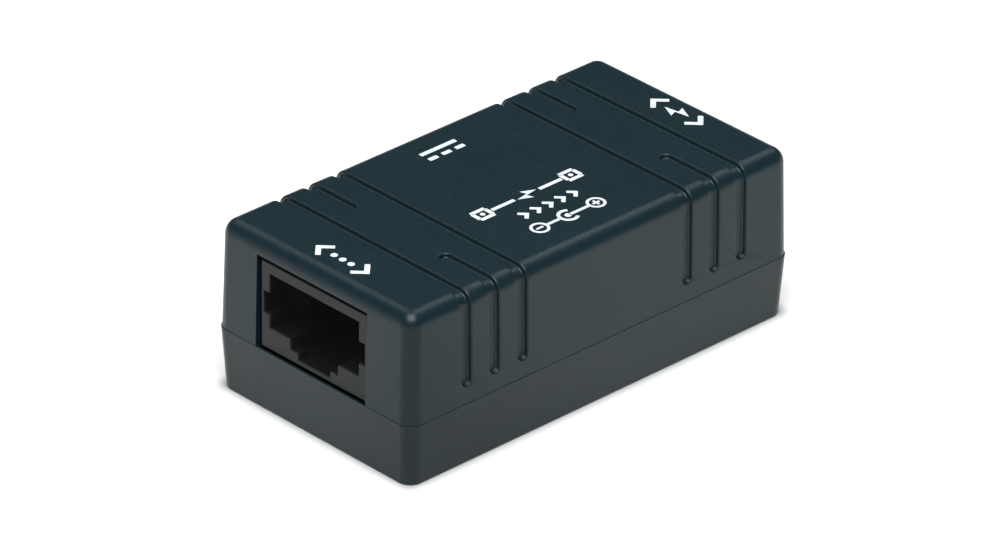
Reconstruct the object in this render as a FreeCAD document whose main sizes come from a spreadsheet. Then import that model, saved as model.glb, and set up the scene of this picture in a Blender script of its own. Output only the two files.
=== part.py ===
import FreeCAD, Part
import math
import os
import Sketcher
from FreeCAD import Vector, Rotation, Placement

# PoE injector: a two-shell plastic box with a network socket in each short end and a
# DC power socket in one long side.
# Frame: millimetres, origin at the centre of the underside, X along the length
# (LAN end at -X, POE end at +X), Y across (DC socket side at +Y), Z up.

os.makedirs("parts", exist_ok=True)
doc = FreeCAD.newDocument("PoEInjector")
sheet = doc.addObject("Spreadsheet::Sheet", "Dims")

# ---------------------------------------------------------------- driving dimensions
# alias, value, note
DIMS = [
    # case
    ("case_length", 58.1, "length over the two port ends, at the parting line"),
    ("case_width", 31.3, "width at the parting line"),
    ("case_height", 20.95, "height over all"),
    ("parting_height", 7.6, "height of the parting line"),
    ("cover_inset", 0.06, "step from tray wall to cover wall at the parting line"),
    ("tray_draft", 3.1, "draft of the tray walls, degrees"),
    ("cover_draft", 1.25, "draft of the cover walls, degrees"),
    ("tray_wall", 1.8, "tray wall"),
    ("tray_floor", 1.6, "tray floor"),
    ("cover_wall", 1.7, "cover wall"),
    ("cover_roof", 1.8, "cover roof"),
    ("corner_radius", 1.8, "vertical corners and lid edge of the cover"),
    ("tray_corner", 1.7, "vertical corners of the tray"),
    ("foot_edge", 0.3, "rounding round the underside"),
    ("inner_corner", 0.6, "inside vertical corners"),
    ("rebate_skin", 0.85, "wall left outside the rebate"),
    ("rebate_depth", 1.3, "depth of the rebate in the tray"),
    ("tongue_depth", 1.15, "depth of the tongue under the cover"),
    ("tongue_gap", 0.08, "clearance of the tongue in the rebate"),
    # grooves
    ("groove_width", 1.4, "width of a groove"),
    ("groove_depth", 0.5, "depth of a groove"),
    ("groove_round", 0.24, "rounding of its rims and of the corners of its floor"),
    ("groove_pitch", 4.17, "spacing in a group of three"),
    ("groove_centre_lan", -16.4, "middle groove of the LAN-end group"),
    ("groove_centre_poe", 16.95, "middle groove of the POE-end group"),
    ("groove_start", 9.83, "height of the rounded lower end"),
    ("groove_tip", 7.0, "how near the centre line the middle groove comes"),
    # fasteners
    ("screw_x", 21.5, "screws, along the length"),
    ("screw_y", 11.4, "screws, across"),
    ("screw_diameter", 2.2, "thread"),
    ("screw_length", 12.0, "under the head"),
    ("screw_point", 0.6, "chamfer at the tip"),
    ("head_diameter", 4.0, "head"),
    ("head_height", 1.4, "head"),
    ("head_round", 0.45, "rounding of the head"),
    ("cross_long", 2.3, "cross recess, length of an arm pair"),
    ("cross_thin", 0.5, "cross recess, width of an arm"),
    ("cross_depth", 0.9, "cross recess, depth"),
    ("head_recess", 4.6, "counterbore in the tray"),
    ("recess_depth", 2.2, "counterbore depth"),
    ("screw_clear", 2.6, "clearance hole"),
    ("post_diameter", 6.0, "post in the tray"),
    ("boss_diameter", 5.0, "boss under the lid"),
    ("pilot_diameter", 2.26, "bore of the boss"),
    ("pilot_depth", 8.0, "depth of the bore of the boss"),
    ("pillar_diameter", 3.0, "board pillar"),
    ("pillar_y", 11.6, "board pillars, across"),
    # ribs under the lid
    ("rib_thick", 1.2, "rib, along X"),
    ("rib_length", 11.0, "rib, along Y"),
    ("rib_offset", 1.5, "from the screws towards the middle"),
    ("rib_gap", 0.1, "clearance above the network socket"),
    # board
    ("board_length", 53.5, "along X"),
    ("board_width", 26.6, "along Y"),
    ("board_thick", 1.6, "thickness"),
    ("board_top", 7.9, "height of the top of the board"),
    ("board_corner", 1.0, "corner radius"),
    ("tail_hole", 0.8, "holes for wire tails"),
    # network socket
    ("jack_face", 28.65, "distance of the socket face from the middle"),
    ("jack_y", 0.0, "centre line of both sockets"),
    ("jack_length", 17.6, "socket, from face to back"),
    ("jack_width", 16.8, "socket, across"),
    ("jack_height", 10.6, "socket, above the board"),
    ("mouth_width", 12.0, "plug channel"),
    ("mouth_flare", 14.3, "plug channel at the face"),
    ("flare_straight", 3.3, "straight part of the flare"),
    ("flare_end", 4.8, "depth where the flare has closed"),
    ("mouth_floor", 2.6, "floor of the plug channel above the board"),
    ("mouth_roof", 9.4, "roof of the plug channel above the board"),
    ("mouth_depth", 12.6, "depth of the plug channel"),
    ("key_wide", 7.7, "latch channel"),
    ("key_wide_floor", 1.3, "floor of the wide latch channel"),
    ("key_narrow", 5.2, "narrow latch channel at the face"),
    ("key_narrow_floor", 0.45, "floor of the narrow latch channel"),
    ("latch_stop", 1.5, "thickness of the stop that holds the latch"),
    ("notch_width", 16.2, "across the two side notches"),
    ("notch_low", 4.25, "side notches, lower edge"),
    ("notch_high", 7.0, "side notches, upper edge"),
    ("notch_depth", 3.3, "side notches, depth from the face"),
    ("back_width", 12.8, "pocket for the insert, across"),
    ("back_roof", 10.15, "pocket for the insert, top"),
    ("peg_diameter", 3.1, "locating pegs"),
    ("peg_hole", 3.3, "holes for the pegs"),
    ("peg_length", 2.6, "locating pegs"),
    ("peg_round", 0.4, "rounding of the peg ends"),
    ("peg_x", 10.4, "locating pegs, from the face"),
    ("peg_y", 5.7, "locating pegs, across"),
    ("contact_pitch", 1.02, "spacing of the contact wires"),
    ("wire_diameter", 0.4, "contact wire"),
    ("wire_slot", 0.52, "slot for a fixed wire"),
    ("comb_slot", 0.68, "slot for a moving wire end"),
    ("comb_low", 4.6, "lower end of the comb slots"),
    ("comb_back", 13.65, "back of the comb slots"),
    ("roof_run", 9.85, "height of the fixed wires under the roof"),
    ("roof_slot", 10.1, "top of the roof slots above the board"),
    ("fold_x", 2.45, "front of the fold"),
    ("spring_x", 3.0, "middle of the gap between fixed and moving wire"),
    ("wire_half_gap", 0.1, "half of that gap"),
    ("spring_z", 9.25, "height of the moving wire at that gap"),
    ("spring_straight", 0.35, "level start of the moving wire"),
    ("spring_bend_x", 12.0, "bend near the free end"),
    ("spring_tip_x", 12.9, "free end, from the face"),
    ("spring_tip_z", 5.9, "free end, height"),
    ("tail_row_a", 14.4, "first row of tails"),
    ("tail_row_b", 16.7, "second row of tails"),
    ("tail_length", 2.8, "tails below the top of the board"),
    ("insert_front", 12.7, "front of the insert"),
    ("insert_back", 17.3, "back of the insert"),
    ("insert_width", 12.6, "insert, across"),
    ("insert_low", 0.05, "underside of the insert"),
    ("insert_top", 9.6, "top of the insert"),
    ("cut_past", 0.5, "run-out of slots and pockets past an open side"),
    # windows
    ("port_window_width", 17.6, "window round a network socket"),
    ("port_window_y", 0.26, "centre line of these windows"),
    ("port_lip", 0.3, "rim left in front of the relief below a window"),
    ("port_relief", 0.6, "depth of that relief"),
    ("port_window_top", 18.97, "top of the window"),
    ("power_window_width", 9.5, "window round the power socket"),
    ("power_window_top", 19.0, "top of the window"),
    # power socket
    ("power_face", 14.95, "face of the power socket from the middle"),
    ("power_width", 9.0, "front block, across"),
    ("power_height", 11.0, "front block, height"),
    ("power_front", 3.3, "front block, depth"),
    ("power_body", 8.0, "body behind the front block, width"),
    ("power_length", 14.2, "power socket, from face to back"),
    ("power_axis", 6.5, "height of the plug axis above the board"),
    ("barrel_bore", 6.3, "bore for the 5.5 mm plug"),
    ("barrel_depth", 10.2, "bore, depth"),
    ("barrel_chamfer", 0.35, "chamfer at its mouth"),
    ("pin_diameter", 2.0, "centre pin"),
    ("pin_round", 0.55, "rounding of its tip"),
    ("pin_tip", 0.6, "tip of the pin behind the face"),
    ("pin_back", 14.8, "back end of the pin"),
    ("pin_shank", 1.2, "part of the pin held in the back wall"),
    ("pin_hole", 1.26, "hole for the shank"),
    ("strip_thick", 0.3, "terminal strip"),
    ("leaf_width", 2.6, "sleeve spring"),
    ("leaf_slot", 3.4, "slot below the bore, width"),
    ("leaf_slot_front", 2.2, "front end of the slot"),
    ("leaf_slot_back", 13.0, "back end of the slot"),
    ("leaf_slot_height", 4.3, "top of the slot"),
    ("leaf_root", 11.5, "where the spring is held"),
    ("leaf_flat", 2.55, "height of the flat of the spring"),
    ("leaf_knee", 9.0, "end of the flat"),
    ("leaf_crest", 5.2, "crest of the spring, from the face"),
    ("leaf_crest_height", 4.05, "crest of the spring, height"),
    ("leaf_round", 0.9, "rounding over the crest"),
    ("leaf_end", 3.3, "free end, from the face"),
    ("leaf_end_height", 2.95, "free end, height"),
    ("terminal_width", 2.6, "terminal strips"),
    ("terminal_reach", 3.0, "terminals below the top of the board"),
    ("pin_strip_gap", 0.02, "from the back of the socket to the pin terminal"),
    ("pin_strip_rise", 1.9, "top of the pin terminal above the plug axis"),
    ("sleeve_strip_gap", 0.2, "from the root of the spring to the sleeve terminal"),
    ("switch_depth", 9.7, "switch finger behind the face"),
    ("switch_side", 4.6, "switch leg from the axis"),
    ("switch_width", 1.0, "finger and leg, along Y"),
    ("switch_tip", 0.9, "free end of the finger from the axis"),
    ("switch_gap", 0.05, "clearance of the finger above the spring"),
    ("passage_width", 2.2, "passage for the finger, along Y"),
    ("passage_height", 3.15, "passage for the finger, top"),
    ("terminal_slot_long", 3.2, "slots in the board"),
    ("terminal_slot_short", 0.9, "slots in the board"),
    ("switch_slot_long", 2.6, "board slot for the switch leg"),
    # small parts on the board
    ("lead_diameter", 0.6, "leads"),
    ("lead_clear", 0.3, "lead holes in the board, larger than the leads"),
    ("fuse_x", -6.0, "fuse, along the length"),
    ("fuse_y", -8.2, "fuse, across"),
    ("fuse_diameter", 7.0, "fuse disc"),
    ("fuse_thick", 3.0, "fuse disc"),
    ("fuse_round", 0.8, "rounding of the disc"),
    ("fuse_lift", 0.9, "disc above the board"),
    ("fuse_lead_top", 3.3, "upper end of its leads above the board"),
    ("fuse_pitch", 5.1, "leads of the fuse"),
    ("capacitor_x", 6.0, "capacitor, along the length"),
    ("capacitor_y", -8.6, "capacitor, across"),
    ("can_diameter", 6.0, "can"),
    ("can_height", 7.0, "can"),
    ("can_lift", 0.3, "can above the board"),
    ("can_round", 0.5, "rounding of the top of the can"),
    ("can_wall", 0.3, "wall of the can round the bung"),
    ("vent_length", 3.4, "scored lines of the vent"),
    ("vent_width", 0.24, "scored lines of the vent"),
    ("vent_depth", 0.12, "scored lines of the vent"),
    ("sleeve_diameter", 6.3, "sleeve"),
    ("sleeve_short", 0.5, "how much lower the sleeve is than the can"),
    ("bung_height", 1.0, "recess in the can for the bung"),
    ("capacitor_pitch", 2.5, "leads of the capacitor"),
    ("diode_y", -2.6, "diode, across"),
    ("diode_diameter", 2.6, "diode"),
    ("diode_length", 5.0, "diode"),
    ("diode_round", 0.25, "rounding of its ends"),
    ("diode_axis", 1.7, "height of the diode above the board"),
    ("diode_lead_start", 0.6, "inner end of a lead from the middle"),
    ("diode_pitch", 10.0, "leads of the diode"),
]


class Size:
    """A size that carries both its expression in the sheet and its present value."""

    def __init__(self, text, value):
        self.text = text
        self.value = float(value)

    @staticmethod
    def of(other):
        return other if isinstance(other, Size) else Size("%.6g" % other, other)

    def __add__(self, other):
        other = Size.of(other)
        return Size("(%s + %s)" % (self.text, other.text), self.value + other.value)

    def __radd__(self, other):
        return Size.of(other) + self

    def __sub__(self, other):
        other = Size.of(other)
        return Size("(%s - %s)" % (self.text, other.text), self.value - other.value)

    def __rsub__(self, other):
        return Size.of(other) - self

    def __mul__(self, other):
        other = Size.of(other)
        return Size("(%s * %s)" % (self.text, other.text), self.value * other.value)

    def __rmul__(self, other):
        return Size.of(other) * self

    def __truediv__(self, other):
        other = Size.of(other)
        return Size("(%s / %s)" % (self.text, other.text), self.value / other.value)

    def __neg__(self):
        return Size("(0 - %s)" % self.text, -self.value)


SIZES = {}
for line, (alias, value, note) in enumerate(DIMS, start=1):
    sheet.set("A%d" % line, alias)
    sheet.set("B%d" % line, "%.6g" % value)
    sheet.setAlias("B%d" % line, alias)
    sheet.set("C%d" % line, note)
    SIZES[alias] = Size("Dims.%s" % alias, value)
doc.recompute()


def dim(alias):
    return SIZES[alias]


# ---------------------------------------------------------------- modelling helpers
PARTS = []
NAME_COUNT = [0]


def fresh(stem):
    NAME_COUNT[0] += 1
    return "%s_%d" % (stem, NAME_COUNT[0])


def link(obj, path, size):
    """Tie a property to the sheet when its size comes from there."""
    if "Dims" in size.text:
        obj.setExpression(path, size.text)


def bind(obj, prop, size):
    size = Size.of(size)
    setattr(obj, prop, size.value)
    link(obj, prop, size)


def origin_feature(body, role):
    for feature in body.Origin.OriginFeatures:
        if feature.Role == role:
            return feature
    raise RuntimeError("no origin feature " + role)


def new_body(label, base=(0, 0, 0), yaw=0.0, keep=True):
    body = doc.addObject("PartDesign::Body", label)
    body.Label = label
    base = [Size.of(size) for size in base]
    body.Placement = Placement(Vector(*[size.value for size in base]),
                               Rotation(Vector(0, 0, 1), yaw))
    for axis, size in zip("xyz", base):
        link(body, ".Placement.Base.%s" % axis, size)
    if keep:
        PARTS.append(body)
    return body


class Profile:
    """A sketch on an origin plane of a body, moved along the plane normal by `offset`.

    The normals are +Z for XY, +X for YZ and -Y for XZ."""

    def __init__(self, body, plane, offset=0, x=0, y=0):
        self.body = body
        self.sketch = body.newObject("Sketcher::SketchObject", fresh("Sketch"))
        self.sketch.AttachmentSupport = [(origin_feature(body, plane + "_Plane"), "")]
        self.sketch.MapMode = "FlatFace"
        shift = [Size.of(size) for size in (x, y, offset)]
        self.sketch.AttachmentOffset = Placement(Vector(*[size.value for size in shift]),
                                                 Rotation())
        for axis, size in zip("xyz", shift):
            link(self.sketch, ".AttachmentOffset.Base.%s" % axis, size)

    def constrain(self, *terms):
        return self.sketch.addConstraint(Sketcher.Constraint(*terms))

    def measure(self, size, *terms):
        """A constraint whose value is a size."""
        index = self.constrain(*terms, size.value)
        if "Dims" in size.text:
            name = fresh("span")
            self.sketch.renameConstraint(index, name)
            self.sketch.setExpression("Constraints." + name, size.text)

    def line(self, start, end):
        return self.sketch.addGeometry(Part.LineSegment(start, end))

    def pin_point(self, geometry, point, x, y):
        for kind, size, axis in (("DistanceX", Size.of(x), -2), ("DistanceY", Size.of(y), -1)):
            if abs(size.value) < 1e-9:
                self.constrain("PointOnObject", geometry, point, axis)
            else:
                self.measure(size, kind, -1, 1, geometry, point)

    def rect(self, width, depth, cx=0, cy=0):
        """Rectangle about (cx, cy)."""
        width, depth, cx, cy = [Size.of(size) for size in (width, depth, cx, cy)]
        x0, x1 = cx.value - width.value / 2, cx.value + width.value / 2
        y0, y1 = cy.value - depth.value / 2, cy.value + depth.value / 2
        corners = [Vector(x0, y0, 0), Vector(x1, y0, 0), Vector(x1, y1, 0), Vector(x0, y1, 0)]
        sides = [self.line(corners[i], corners[(i + 1) % 4]) for i in range(4)]
        for i in range(4):
            self.constrain("Coincident", sides[i], 2, sides[(i + 1) % 4], 1)
        for i, kind in enumerate(("Horizontal", "Vertical", "Horizontal", "Vertical")):
            self.constrain(kind, sides[i])
        self.measure(width, "DistanceX", sides[0], 1, sides[0], 2)
        self.measure(depth, "DistanceY", sides[1], 1, sides[1], 2)
        self.pin_point(sides[0], 1, cx - width / 2, cy - depth / 2)
        return self

    def rise(self, width, low, high, cx=0):
        """Rectangle centred on sketch x = cx, from low to high in sketch y."""
        return self.rect(width, high - low, cx, (low + high) / 2)

    def run(self, start, stop, width, cy=0):
        """Rectangle from start to stop in sketch x, centred on sketch y = cy."""
        return self.rect(stop - start, width, (start + stop) / 2, cy)

    def circle(self, diameter, cx=0, cy=0):
        diameter, cx, cy = Size.of(diameter), Size.of(cx), Size.of(cy)
        centre = Vector(cx.value, cy.value, 0)
        ring = self.sketch.addGeometry(
            Part.Circle(centre, Vector(0, 0, 1), diameter.value / 2))
        self.measure(diameter, "Diameter", ring)
        self.pin_point(ring, 3, cx, cy)
        return self

    def circles(self, diameter, places):
        for x, y in places:
            self.circle(diameter, x, y)
        return self

    def poly(self, points, closed=True):
        points = [(Size.of(x), Size.of(y)) for x, y in points]
        spots = [Vector(x.value, y.value, 0) for x, y in points]
        count = len(spots) if closed else len(spots) - 1
        sides = [self.line(spots[i], spots[(i + 1) % len(spots)]) for i in range(count)]
        for i in range(count - 1):
            self.constrain("Coincident", sides[i], 2, sides[i + 1], 1)
        if closed:
            self.constrain("Coincident", sides[-1], 2, sides[0], 1)
        for i in range(count):
            self.pin_point(sides[i], 1, *points[i])
        if not closed:
            self.pin_point(sides[-1], 2, *points[-1])
        return self

    def channel(self, width, cx, low, high):
        """Upright slot with a half-round lower end."""
        cx = Size.of(cx)
        radius = width / 2
        left, right = cx.value - radius.value, cx.value + radius.value
        spring_line, top = low.value + radius.value, high.value
        bottom = Part.Circle(Vector(cx.value, spring_line, 0), Vector(0, 0, 1), radius.value)
        arc = self.sketch.addGeometry(Part.ArcOfCircle(bottom, math.pi, 2 * math.pi))
        right_side = self.line(Vector(right, spring_line, 0), Vector(right, top, 0))
        top_side = self.line(Vector(right, top, 0), Vector(left, top, 0))
        left_side = self.line(Vector(left, top, 0), Vector(left, spring_line, 0))
        self.constrain("Tangent", arc, 2, right_side, 1)
        self.constrain("Coincident", right_side, 2, top_side, 1)
        self.constrain("Coincident", top_side, 2, left_side, 1)
        self.constrain("Tangent", left_side, 2, arc, 1)
        self.constrain("Vertical", right_side)
        self.constrain("Horizontal", top_side)
        self.measure(radius, "Radius", arc)
        self.pin_point(arc, 3, cx, low + radius)
        self.measure(high, "DistanceY", -1, 1, right_side, 2)
        return self

    def extrude(self, kind, length, reverse, mid, taper):
        feature = self.body.newObject("PartDesign::" + kind, fresh(kind))
        feature.Profile = self.sketch
        bind(feature, "Length", length)
        feature.Reversed = reverse
        if mid:
            feature.SideType = "Symmetric"
        if taper is not None:
            bind(feature, "TaperAngle", taper)
        self.sketch.Visibility = False
        self.body.Tip = feature
        doc.recompute()
        return feature

    def pad(self, length, reverse=False, mid=False, taper=None):
        """Adds material along the sketch normal (against it when reversed)."""
        return self.extrude("Pad", length, reverse, mid, taper)

    def pocket(self, length, reverse=False, mid=False, taper=None):
        """Takes material against the sketch normal (along it when reversed)."""
        before = self.body.Tip.Shape.Volume
        feature = self.extrude("Pocket", length, reverse, mid, taper)
        if not feature.Shape.Volume < before - 1e-4:
            raise RuntimeError("%s: pocket %s takes nothing" % (self.body.Label, feature.Name))
        return feature


def finish(body, feature):
    body.Tip = feature
    doc.recompute()
    return feature


def dress(kind, prop, body, size, choose):
    base = body.Tip
    names = ["Edge%d" % (i + 1) for i, edge in enumerate(base.Shape.Edges) if choose(edge)]
    if not names:
        raise RuntimeError("%s: no edge for the %s" % (body.Label, kind))
    feature = body.newObject("PartDesign::" + kind, fresh(kind))
    feature.Base = (base, names)
    bind(feature, prop, size)
    return finish(body, feature)


def fillet(body, radius, choose):
    return dress("Fillet", "Radius", body, radius, choose)


def chamfer(body, size, choose):
    return dress("Chamfer", "Size", body, size, choose)


def pipe(section, spine):
    feature = section.body.newObject("PartDesign::AdditivePipe", fresh("Pipe"))
    feature.Profile = section.sketch
    feature.Spine = (spine.sketch, [])
    feature.Transition = "Round corner"
    return finish(section.body, feature)


def row(body, original, spacing, occurrences):
    """Repeats a feature along Y."""
    feature = body.newObject("PartDesign::LinearPattern", fresh("Row"))
    feature.Originals = [original]
    feature.Direction = (origin_feature(body, "Y_Axis"), [""])
    feature.Mode = "Spacing"
    bind(feature, "Offset", spacing)
    feature.Occurrences = occurrences
    return finish(body, feature)


def ends(edge):
    return [vertex.Point for vertex in edge.Vertexes]


def upright(edge):
    """Edges that run mainly along Z."""
    points = ends(edge)
    if len(points) != 2:
        return False
    run = points[1] - points[0]
    return abs(run.z) > 0.5 and math.hypot(run.x, run.y) < 0.1 * abs(run.z) + 1e-6


def lies_at(edge, axis, size):
    """Edges that lie in the plane across an axis at a size."""
    box, place = edge.BoundBox, Size.of(size).value
    return (abs(getattr(box, axis + "Min") - place) < 1e-3
            and abs(getattr(box, axis + "Max") - place) < 1e-3)


def is_ring(edge):
    return len(edge.Vertexes) == 1


# ---------------------------------------------------------------- shared places
LENGTH, WIDTH = dim("case_length"), dim("case_width")
PARTING = dim("parting_height")
COVER_HEIGHT = dim("case_height") - PARTING
BOARD_TOP = dim("board_top")
BOARD_LOW = BOARD_TOP - dim("board_thick")
# how far a pad starts inside the material it joins
SINK = 0.5

SCREWS = [(sx * dim("screw_x"), sy * dim("screw_y")) for sx in (-1, 1) for sy in (-1, 1)]
# the eight contact wires of a network socket: place across, and tail from the face
CONTACT_ACROSS = [(k - 3.5) * dim("contact_pitch") for k in range(8)]
CONTACT_TAILS = [dim("tail_row_a"), dim("tail_row_b")] * 4


def inset(margin):
    """Length and width of the case outline moved in by a margin."""
    return LENGTH - 2 * margin, WIDTH - 2 * margin


def pair(pitch, x=0, y=0):
    """Two places a pitch apart along X, about (x, y)."""
    return [(x + side * pitch / 2, y) for side in (-1, 1)]


# ---------------------------------------------------------------- bottom case
def bottom_case():
    draft = -dim("tray_draft")
    tray = new_body("bottom_case")
    Profile(tray, "XY", PARTING).rect(LENGTH, WIDTH).pad(PARTING, reverse=True, taper=draft)
    fillet(tray, dim("tray_corner"), upright)
    fillet(tray, dim("foot_edge"), lambda edge: lies_at(edge, "Z", 0))
    hollow = Profile(tray, "XY", PARTING).rect(*inset(dim("tray_wall")))
    hollow.pocket(PARTING - dim("tray_floor"), taper=draft)

    # a little less than the wall, so that only edges of the hollow lie inside
    margin = 1.6
    inner_x, inner_y = LENGTH.value / 2 - margin, WIDTH.value / 2 - margin
    fillet(tray, dim("inner_corner"), lambda edge: upright(edge) and all(
        abs(point.x) < inner_x and abs(point.y) < inner_y for point in ends(edge)))
    rebate = Profile(tray, "XY", PARTING).rect(*inset(dim("rebate_skin")))
    rebate.pocket(dim("rebate_depth"))

    # relief under each network socket, behind a thin lip
    into_rebate = 0.3
    relief_end = dim("rebate_skin") + into_rebate
    relief = Profile(tray, "XY", PARTING)
    for sx in (-1, 1):
        relief.rect(relief_end - dim("port_lip"), dim("port_window_width"),
                    sx * (LENGTH / 2 - (dim("port_lip") + relief_end) / 2),
                    dim("port_window_y"))
    relief.pocket(dim("port_relief"))

    # screw posts and board pillars stand on the floor and carry the board
    post_base = dim("tray_floor") / 2
    posts = Profile(tray, "XY", post_base).circles(dim("post_diameter"), SCREWS)
    posts.circles(dim("pillar_diameter"), [(0, sy * dim("pillar_y")) for sy in (-1, 1)])
    posts.pad(BOARD_LOW - post_base)
    for diameter, depth in ((dim("head_recess"), dim("recess_depth")),
                            (dim("screw_clear"), PARTING)):
        Profile(tray, "XY").circles(diameter, SCREWS).pocket(depth, reverse=True)


# ---------------------------------------------------------------- top cover
GROOVE_WIDTH, GROOVE_DEPTH = dim("groove_width"), dim("groove_depth")
GROOVE_CENTRES = (dim("groove_centre_lan"), dim("groove_centre_poe"))


def groove_skin():
    """The floor of the grooves: the cover outline moved in by the groove depth."""
    height = COVER_HEIGHT - GROOVE_DEPTH
    skin = new_body("cover_groove_skin", keep=False)
    outline = Profile(skin, "XY").rect(*inset(dim("cover_inset") + GROOVE_DEPTH))
    outline.pad(height, taper=-dim("cover_draft"))
    fillet(skin, dim("corner_radius") - GROOVE_DEPTH,
           lambda edge: upright(edge) or lies_at(edge, "Z", height))
    return skin


def cut_grooves(cover):
    """Channels cut right through; the skin closes them again from the inside."""
    low = dim("groove_start") - PARTING
    high = COVER_HEIGHT + 5
    outer = Profile(cover, "XZ")
    for centre in GROOVE_CENTRES:
        for k in (-1, 1):
            outer.channel(GROOVE_WIDTH, centre + k * dim("groove_pitch"), low, high)
    outer.pocket(WIDTH + 10, mid=True)

    # the middle groove of each group stops short of the centre line, with a round tip
    tip_y = dim("groove_tip") + GROOVE_WIDTH / 2
    for sy in (-1, 1):
        middle = Profile(cover, "XZ", -sy * tip_y)
        for centre in GROOVE_CENTRES:
            middle.channel(GROOVE_WIDTH, centre, low, high)
        middle.pocket(WIDTH / 2, reverse=(sy < 0))
    above_lid, below_floor = 1, 2
    tips = Profile(cover, "XY", COVER_HEIGHT + above_lid)
    tips.circles(GROOVE_WIDTH, [(centre, sy * tip_y)
                                for centre in GROOVE_CENTRES for sy in (-1, 1)])
    tips.pocket(GROOVE_DEPTH + (above_lid + below_floor))


def is_groove_wall(face):
    """Planes across X at half a width from a groove, and the round ends."""
    half, surface = GROOVE_WIDTH.value / 2, face.Surface
    if isinstance(surface, Part.Cylinder):
        return abs(surface.Radius - half) < 1e-4
    if isinstance(surface, Part.Plane) and abs(abs(surface.Axis.x) - 1) < 1e-6:
        x, pitch = face.CenterOfMass.x, dim("groove_pitch").value
        return any(abs(abs(x - centre.value - k * pitch) - half) < 1e-4
                   for centre in GROOVE_CENTRES for k in (-1, 0, 1))
    return False


def groove_edges(shape):
    """Edges between a groove wall and a face that isn't one."""
    names = []
    for i, edge in enumerate(shape.Edges):
        walls = [is_groove_wall(face) for face in shape.ancestorsOfType(edge, Part.Face)]
        if len(walls) == 2 and walls.count(True) == 1:
            names.append("Edge%d" % (i + 1))
    return names


def hollow_cover(cover):
    margin = dim("cover_inset") + dim("cover_wall")
    hollow = Profile(cover, "XY").rect(*inset(margin))
    hollow.pocket(COVER_HEIGHT - dim("cover_roof"), reverse=True, taper=-dim("cover_draft"))
    inner_x, inner_y = [size.value / 2 for size in inset(margin)]
    # the draft moves the corners of the hollow inwards as they rise
    outward, inward = 0.05, 0.6
    fillet(cover, dim("inner_corner"), lambda edge: upright(edge) and all(
        inner_x - inward < abs(point.x) < inner_x + outward
        and inner_y - inward < abs(point.y) < inner_y + outward for point in ends(edge)))

    # tongue that drops into the rebate of the tray
    overlap = 0.4
    tongue = Profile(cover, "XY", overlap)
    tongue.rect(*inset(dim("rebate_skin") + dim("tongue_gap")))
    tongue.rect(*inset(margin))
    tongue.pad(dim("tongue_depth") + overlap, reverse=True)


def bosses_and_ribs(cover):
    """Bosses for the screws, and ribs that keep the sockets down."""
    boss_low = BOARD_TOP - PARTING
    roof_middle = COVER_HEIGHT - dim("cover_roof") / 2
    bosses = Profile(cover, "XY", boss_low).circles(dim("boss_diameter"), SCREWS)
    bosses.pad(roof_middle - boss_low)
    ribs = Profile(cover, "XY", roof_middle)
    for sx in (-1, 1):
        ribs.rect(dim("rib_thick"), dim("rib_length"), sx * (dim("screw_x") - dim("rib_offset")))
    rib_low = BOARD_TOP + dim("jack_height") + dim("rib_gap") - PARTING
    ribs.pad(roof_middle - rib_low, reverse=True)
    pilots = Profile(cover, "XY", boss_low).circles(dim("pilot_diameter"), SCREWS)
    pilots.pocket(dim("pilot_depth"), reverse=True)


def cut_windows(cover):
    """Windows, open to the parting line, each cut outwards from inside its wall."""
    low = -(dim("tongue_depth") + 1)
    cut_length = 6
    port_start, power_start = LENGTH / 2 - 3.5, WIDTH / 2 - 2.6
    for sx in (-1, 1):
        window = Profile(cover, "YZ", sx * port_start)
        window.rise(dim("port_window_width"), low, dim("port_window_top") - PARTING,
                    dim("port_window_y"))
        window.pocket(cut_length, reverse=(sx > 0))
    window = Profile(cover, "XZ", -power_start)
    window.rise(dim("power_window_width"), low, dim("power_window_top") - PARTING)
    window.pocket(cut_length)


def top_cover():
    skin = groove_skin()
    cover = new_body("top_cover", (0, 0, PARTING))
    outline = Profile(cover, "XY").rect(*inset(dim("cover_inset")))
    outline.pad(COVER_HEIGHT, taper=-dim("cover_draft"))
    fillet(cover, dim("corner_radius"),
           lambda edge: upright(edge) or lies_at(edge, "Z", COVER_HEIGHT))
    cut_grooves(cover)
    join = cover.newObject("PartDesign::Boolean", "CloseGrooves")
    join.Type = "Fuse"
    join.setObjects([skin])
    finish(cover, join)
    soft = cover.newObject("PartDesign::Fillet", "RoundGrooves")
    soft.Base = (join, groove_edges(join.Shape))
    bind(soft, "Radius", dim("groove_round"))
    finish(cover, soft)
    hollow_cover(cover)
    bosses_and_ribs(cover)
    cut_windows(cover)


# ---------------------------------------------------------------- case screws
def case_screws():
    """Four screws, heads down; z = 0 is the underside of the tray material they clamp."""
    head, length = dim("head_height"), dim("screw_length")
    screws = new_body("case_screws", (0, 0, dim("recess_depth")))
    Profile(screws, "XY").circles(dim("head_diameter"), SCREWS).pad(head, reverse=True)
    fillet(screws, dim("head_round"), lambda edge: lies_at(edge, "Z", -head))
    Profile(screws, "XY", -SINK).circles(dim("screw_diameter"), SCREWS).pad(length + SINK)
    chamfer(screws, dim("screw_point"), lambda edge: lies_at(edge, "Z", length))
    arm = (dim("cross_long"), dim("cross_thin"))
    for wide, deep in (arm, arm[::-1]):
        cross = Profile(screws, "XY", -head)
        for x, y in SCREWS:
            cross.rect(wide, deep, x, y)
        cross.pocket(dim("cross_depth"), reverse=True)


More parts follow.
